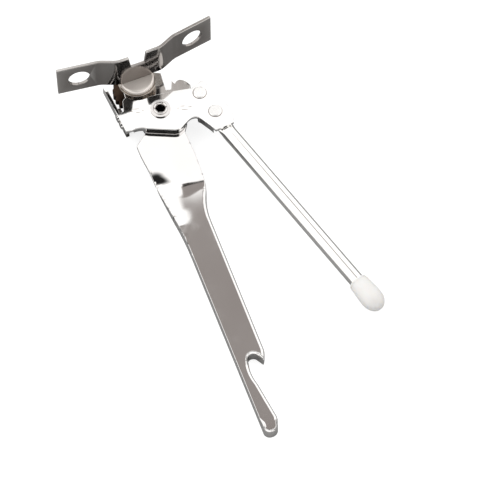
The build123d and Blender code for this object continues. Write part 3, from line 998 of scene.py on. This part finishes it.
@dataclass
class RodHandle:
    """The drawn tube and its moulded cap.

    Attributes:
        angle: Degrees from -Y to the rod, towards +X.
        offset: The rod axis's distance from the pivot.
        radius: The tube's radius.
        tube_end: Distance along the rod to the tube's end.
        grip: How far the cap reaches over the tube.
        length: The cap's length.
        wall: The cap's wall at its mouth.
        bulb: Radius at its widest.
        dome: Length of its rounded end.
        tube_edge: Rounding of the tube's edges.
        mould_line: How far the mould line stands proud.
    """

    angle: float = 20.3
    offset: float = 18.05 * MM
    radius: float = 3.15 * MM
    tube_end: float = 121.5 * MM
    grip: float = 8.3 * MM
    length: float = 15.6 * MM
    wall: float = 0.85 * MM
    bulb: float = 4.7 * MM
    dome: float = 6.2 * MM
    tube_edge: float = 0.12 * MM
    mould_line: float = 0.05 * MM

    def build(self, shop: Workshop) -> None:
        """Builds and dresses the tube and the cap.

        Args:
            shop: The workshop.
        """
        tube = finish_mesh(joined_mesh("rod_handle"), "rod_tube")
        shade(tube)
        round_edges(tube, self.tube_edge)
        shop.fit(tube, "rod_handle", Body.SWING)
        shop.fit(self._cap(), "rod_cap", Body.SWING)

    def _cap(self) -> bpy.types.Object:
        """Builds the cap with its rolled mouth, mould line and rounded end.

        Returns:
            The cap, in place.
        """
        start = self.tube_end - self.grip
        end = start + self.length
        mouth = self.radius + self.wall
        inner = self.radius + 0.05 * MM
        widest = end - self.dome
        profile = [(inner, start + 0.3 * MM), (inner + 0.25 * MM, start), (mouth - 0.3 * MM, start),
                   (mouth, start + 0.3 * MM), (mouth + 0.12 * MM, start + 1.1 * MM)]
        side_steps, dome_steps = 10, 15
        for i in range(1, side_steps + 1):
            t = i / side_steps
            flare = (self.bulb - mouth) * ease(t, -0.25, 1.0)
            profile.append((mouth + flare, start + (widest - start) * t))
        for i in range(1, dome_steps):
            a = math.radians(90.0 * i / dome_steps)
            profile.append((self.bulb * math.cos(a) ** 0.9, widest + self.dome * math.sin(a)))
        ceiling = self.tube_end + 0.3 * MM
        profile += [(0.15 * MM, end), (0.15 * MM, ceiling), (inner, ceiling)]
        cap = turned("rod_cap_moulding", profile, 96, self._raise_line)
        shade(cap, 50.0)
        a = math.radians(self.angle)
        across = Vector((math.cos(a), math.sin(a), 0.0))
        along = Vector((math.sin(a), -math.cos(a), 0.0))
        up = along.cross(across)
        turn = Matrix((across, up, along)).transposed().to_4x4()
        low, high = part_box("rod_cap")
        place = Matrix.Translation(across * self.offset + Vector((0.0, 0.0, (low.z + high.z) / 2.0)))
        cap.data.transform(place @ turn)
        return cap

    def _raise_line(self, radius: float, height: float, angle: float) -> Pair:
        """Raises the faint line where the two halves of the mould met.

        Args:
            radius: Radius on the plain profile.
            height: Distance along it.
            angle: Angle round the axis.

        Returns:
            The radius with the line, and the height.
        """
        near = max(0.0, math.cos(angle * 2.0 + 0.6)) ** 60
        proud = self.mould_line * near if radius > self.radius + 0.4 * MM else 0.0
        return radius + proud, height


@dataclass
class KeyShaft:
    """The butterfly key, the slotted shaft and all that turns with it.

    Attributes:
        key_edge: Rounding of the key's edges.
        disc_edge: Rounding of the shaft's edges.
        wheel_edge: Rounding of the wheel's teeth.
        washer_edge: Rounding of the head washer's edges.
    """

    key_edge: float = 0.2 * MM
    disc_edge: float = 0.12 * MM
    wheel_edge: float = 0.12 * MM
    washer_edge: float = 0.15 * MM

    def build(self, shop: Workshop) -> None:
        """Builds and dresses the turning pieces.

        Args:
            shop: The workshop.
        """
        for node, name, width in (
            ("butterfly_key", "butterfly_key_strip", self.key_edge),
            ("drive_shaft", "drive_shaft_turned", self.disc_edge),
            ("feed_wheel", "feed_wheel_cut", self.wheel_edge),
            ("head_washer", "head_washer_stamped", self.washer_edge),
        ):
            piece = finish_mesh(joined_mesh(node), name)
            shade(piece)
            round_edges(piece, width)
            shop.fit(piece, node, Body.SHAFT)
        for node in ("wheel_ring", "retaining_washer"):
            shop.dress_node(node)


@dataclass
class PivotStack:
    """The plain washers and the bush on the frame.

    Attributes:
        nodes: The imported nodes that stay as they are.
    """

    nodes: tuple[str, ...] = ("pivot_washer", "pivot_spacer", "shaft_bush")

    def build(self, shop: Workshop) -> None:
        """Dresses the washers and the bush.

        Args:
            shop: The workshop.
        """
        for node in self.nodes:
            shop.dress_node(node)


# ---- studio -----------------------------------------------------------------------
@dataclass(frozen=True)
class Panel:
    """A grey panel, hung where one region of the metal mirrors it; only reflections see it.

    Attributes:
        name: Its name.
        low: Smallest X and Y of the region.
        high: Its largest X and Y.
        rise: The panel's height.
        tone: Its brightness.
        soft: Share of its width over which its sides and far end fade; 0 leaves them hard.
    """

    name: str
    low: Pair
    high: Pair
    rise: float
    tone: Colour
    soft: float = 0.0


PANELS: tuple[Panel, ...] = (
    Panel("grip_panel", (-0.048, -0.175), (0.052, -0.0385), 0.6, (0.34, 0.31, 0.295), 0.2),
    Panel("neck_panel", (-0.03, -0.19), (0.03, -0.16), 0.59, (0.06, 0.055, 0.05), 0.2),
    Panel("tab_panel", (-0.002, 0.0096), (0.0095, 0.03), 0.3, (0.2, 0.18, 0.16)),
    Panel("hump_panel", (0.0095, 0.0096), (0.03, 0.03), 0.3, (0.48, 0.45, 0.42)),
)


@dataclass
class Studio:
    """Pale floor, soft even light and the camera.

    Attributes:
        azimuth: Camera's heading, degrees; 0 looks along +Y.
        elevation: Its height above the horizon, degrees.
        aim: The point that it looks at.
        distance: Its distance from that point.
        lens: Focal length on a 36 mm sensor.
        sky: Strength of the tent's light.
        opening: Half width of the dark opening that the camera looks through, degrees.
        opening_blur: Half width of its soft rim, degrees.
        opening_light: Strength of the light in it.
        floor_half: Half of the floor's side.
        floor_gap: How far the floor lies below the object.
        floor_tone: The floor's reflectance.
        floor_mirrored: Its reflectance as the metal sees it.
        floor_glow: Light that it adds towards the camera.
        head_middle: Middle of the shaded floor under the head.
        head_reach: How far that shade reaches; within head_core of it, it is full.
        head_core: Share of head_reach that is fully shaded.
        head_tone: Reflectance of the shaded floor as the metal sees it.
    """

    azimuth: float = -16.0
    elevation: float = 60.0
    aim: Triple = (0.0178, -0.0744, 0.0)
    distance: float = 1.3138
    lens: float = 230.4
    sky: float = 1.3
    opening: float = 27.0
    opening_blur: float = 5.0
    opening_light: float = 0.02
    floor_half: float = 6.0
    floor_gap: float = 0.05 * MM
    floor_tone: float = 0.36
    floor_mirrored: float = 0.3
    floor_glow: float = 0.8
    head_middle: Pair = (-0.001, 0.006)
    head_reach: float = 0.022
    head_core: float = 0.6
    head_tone: float = 0.01

    def directions(self) -> tuple[Vector, Vector, Vector]:
        """Works out how the camera stands.

        Returns:
            Its right, up and forward directions.
        """
        az, el = math.radians(self.azimuth), math.radians(self.elevation)
        right = Vector((math.cos(az), math.sin(az), 0.0))
        ground = Vector((-math.sin(az), math.cos(az), 0.0))
        forward = math.cos(el) * ground - Vector((0.0, 0.0, math.sin(el)))
        up = math.sin(el) * ground + Vector((0.0, 0.0, math.cos(el)))
        return right, up, forward

    def build(self) -> None:
        """Builds the camera, the floor, the tent, the panels and the side light."""
        self._camera()
        self._floor()
        self._tent()
        for panel in PANELS:
            self._hang(panel)
        self._softbox("side_softbox", (-0.7, 0.25, 0.75), 0.7, 3.0)
        LOG.info("made the studio")

    def _camera(self) -> None:
        """Sets the camera up."""
        right, up, forward = self.directions()
        data = bpy.data.cameras.new("camera")
        data.sensor_width = 36.0
        data.lens = self.lens
        data.clip_end = 50.0
        camera = bpy.data.objects.new("camera", data)
        bpy.context.scene.collection.objects.link(camera)
        turn = Matrix((right, up, -forward)).transposed().to_4x4()
        camera.matrix_world = Matrix.Translation(Vector(self.aim) - forward * self.distance) @ turn
        bpy.context.scene.camera = camera
        bpy.context.scene.view_settings.view_transform = "Standard"

    def _floor(self) -> None:
        """Lays the pale floor, which looks brighter to the camera than in the metal; near the head, the
        metal sees painted shade on it.
        """
        half = self.floor_half
        z = CAD_BOUNDS[0].z - self.floor_gap
        mesh = bpy.data.meshes.new("floor")
        corners = [(-half, -half, z), (half, -half, z), (half, half, z), (-half, half, z)]
        mesh.from_pydata(corners, [], [(0, 1, 2, 3)])
        floor = link_object("floor", mesh)
        made = bpy.data.materials.new("pale_floor")
        made.use_nodes = True
        nodes, links = made.node_tree.nodes, made.node_tree.links
        shader = nodes["Principled BSDF"]
        shader.inputs["Roughness"].default_value = 0.9
        shader.inputs["Specular IOR Level"].default_value = 0.0
        shader.inputs["Emission Color"].default_value = (1.0, 1.0, 1.0, 1.0)
        path = nodes.new("ShaderNodeLightPath")
        place = nodes.new("ShaderNodeNewGeometry")
        away = nodes.new("ShaderNodeVectorMath")
        away.operation = "DISTANCE"
        away.inputs[1].default_value = (*self.head_middle, z)
        # Painted shade: near the head the floor's colour, as glossy rays see it, falls to head_tone,
        # standing in for the head's shadow.
        pale = nodes.new("ShaderNodeMapRange")
        pale.interpolation_type = "SMOOTHSTEP"
        pale.inputs["From Min"].default_value = self.head_reach * self.head_core
        pale.inputs["From Max"].default_value = self.head_reach
        pale.inputs["To Min"].default_value = self.head_tone
        pale.inputs["To Max"].default_value = self.floor_mirrored
        seen = nodes.new("ShaderNodeMix")
        seen.inputs["A"].default_value = self.floor_tone
        links.new(place.outputs["Position"], away.inputs[0])
        links.new(away.outputs["Value"], pale.inputs["Value"])
        links.new(path.outputs["Is Glossy Ray"], seen.inputs["Factor"])
        links.new(pale.outputs["Result"], seen.inputs["B"])
        links.new(seen.outputs["Result"], shader.inputs["Base Color"])
        glow = nodes.new("ShaderNodeMath")
        glow.operation = "MULTIPLY"
        glow.inputs[1].default_value = self.floor_glow
        links.new(path.outputs["Is Camera Ray"], glow.inputs[0])
        links.new(glow.outputs[0], shader.inputs["Emission Strength"])
        mesh.materials.append(made)

    def _tent(self) -> None:
        """Makes the white tent, with a dark opening on the camera's side."""
        _, _, forward = self.directions()
        world = bpy.data.worlds.new("tent")
        world.use_nodes = True
        bpy.context.scene.world = world
        nodes, links = world.node_tree.nodes, world.node_tree.links
        place = nodes.new("ShaderNodeTexCoord")
        toward = nodes.new("ShaderNodeVectorMath")
        toward.operation = "DOT_PRODUCT"
        toward.inputs[1].default_value = -forward
        opening = nodes.new("ShaderNodeMapRange")
        opening.interpolation_type = "SMOOTHSTEP"
        outer, inner = self.opening + self.opening_blur, self.opening - self.opening_blur
        opening.inputs["From Min"].default_value = math.cos(math.radians(outer))
        opening.inputs["From Max"].default_value = math.cos(math.radians(inner))
        opening.inputs["To Min"].default_value = self.sky
        opening.inputs["To Max"].default_value = self.opening_light
        light = nodes["Background"]
        light.inputs["Color"].default_value = (1.0, 0.995, 0.985, 1.0)
        links.new(place.outputs["Generated"], toward.inputs[0])
        links.new(toward.outputs["Value"], opening.inputs["Value"])
        links.new(opening.outputs["Result"], light.inputs["Strength"])

    def _hang(self, panel: Panel) -> None:
        """Hangs one panel where the camera sees it mirrored in its region.

        Args:
            panel: The panel.
        """
        _, _, forward = self.directions()
        eye = Vector(self.aim) - forward * self.distance
        spread = panel.rise / eye.z
        (x0, y0), (x1, y1) = panel.low, panel.high
        corners = [
            (x + (x - eye.x) * spread, y + (y - eye.y) * spread, panel.rise)
            for x, y in ((x0, y0), (x1, y0), (x1, y1), (x0, y1))
        ]
        mesh = bpy.data.meshes.new(panel.name)
        mesh.from_pydata(corners, [], [(0, 1, 2, 3)])
        card = link_object(panel.name, mesh)
        made = bpy.data.materials.new(panel.name)
        made.use_nodes = True
        shader = made.node_tree.nodes["Principled BSDF"]
        shader.inputs["Base Color"].default_value = (0.0, 0.0, 0.0, 1.0)
        shader.inputs["Specular IOR Level"].default_value = 0.0
        shader.inputs["Emission Color"].default_value = (*panel.tone, 1.0)
        shader.inputs["Emission Strength"].default_value = 1.0
        if panel.soft:
            self._fade(made, panel.soft)
        mesh.materials.append(made)
        card.visible_camera = False
        card.visible_diffuse = False
        card.visible_shadow = False
        card.visible_transmission = False

    def _fade(self, made: bpy.types.Material, soft: float) -> None:
        """Fades a panel's material out towards its sides and its far end.

        Args:
            made: The material.
            soft: Share of the width over which a side fades; the far end fades in a quarter of it.
        """
        nodes, links = made.node_tree.nodes, made.node_tree.links
        place = nodes.new("ShaderNodeTexCoord")
        parts = nodes.new("ShaderNodeSeparateXYZ")
        links.new(place.outputs["Generated"], parts.inputs["Vector"])
        shown = None
        for axis, start, end in (
            ("X", 0.0, soft),
            ("X", 1.0, 1.0 - soft),
            ("Y", 1.0, 1.0 - soft / 4.0),
        ):
            ramp = nodes.new("ShaderNodeMapRange")
            ramp.interpolation_type = "SMOOTHSTEP"
            ramp.inputs["From Min"].default_value = start
            ramp.inputs["From Max"].default_value = end
            links.new(parts.outputs[axis], ramp.inputs["Value"])
            if shown is None:
                shown = ramp.outputs["Result"]
                continue
            both = nodes.new("ShaderNodeMath")
            both.operation = "MULTIPLY"
            links.new(shown, both.inputs[0])
            links.new(ramp.outputs["Result"], both.inputs[1])
            shown = both.outputs[0]
        links.new(shown, nodes["Principled BSDF"].inputs["Alpha"])

    def _softbox(self, name: str, place: Triple, size: float, power: float) -> None:
        """Adds a square softbox that faces the object.

        Args:
            name: Its name.
            place: Where it stands.
            size: Its side.
            power: Its power, in watts.
        """
        data = bpy.data.lights.new(name, "AREA")
        data.energy = power
        data.size = size
        light = bpy.data.objects.new(name, data)
        bpy.context.scene.collection.objects.link(light)
        light.location = place
        light.rotation_euler = (Vector(place) - Vector(self.aim)).to_track_quat("Z", "Y").to_euler()
        light.visible_camera = False
        light.visible_glossy = False


def main() -> None:
    """Builds and dresses every sub-assembly and the studio."""
    logging.basicConfig(level=logging.INFO, format="%(name)s: %(message)s")
    shop = Workshop()
    for assembly in (FlatHandle(), Eyelet(), PivotStack(), SwingHead(), RodHandle(), KeyShaft()):
        assembly.build(shop)
        LOG.info("finished %s", type(assembly).__name__)
    Studio().build()


if __name__ == "__main__":
    main()
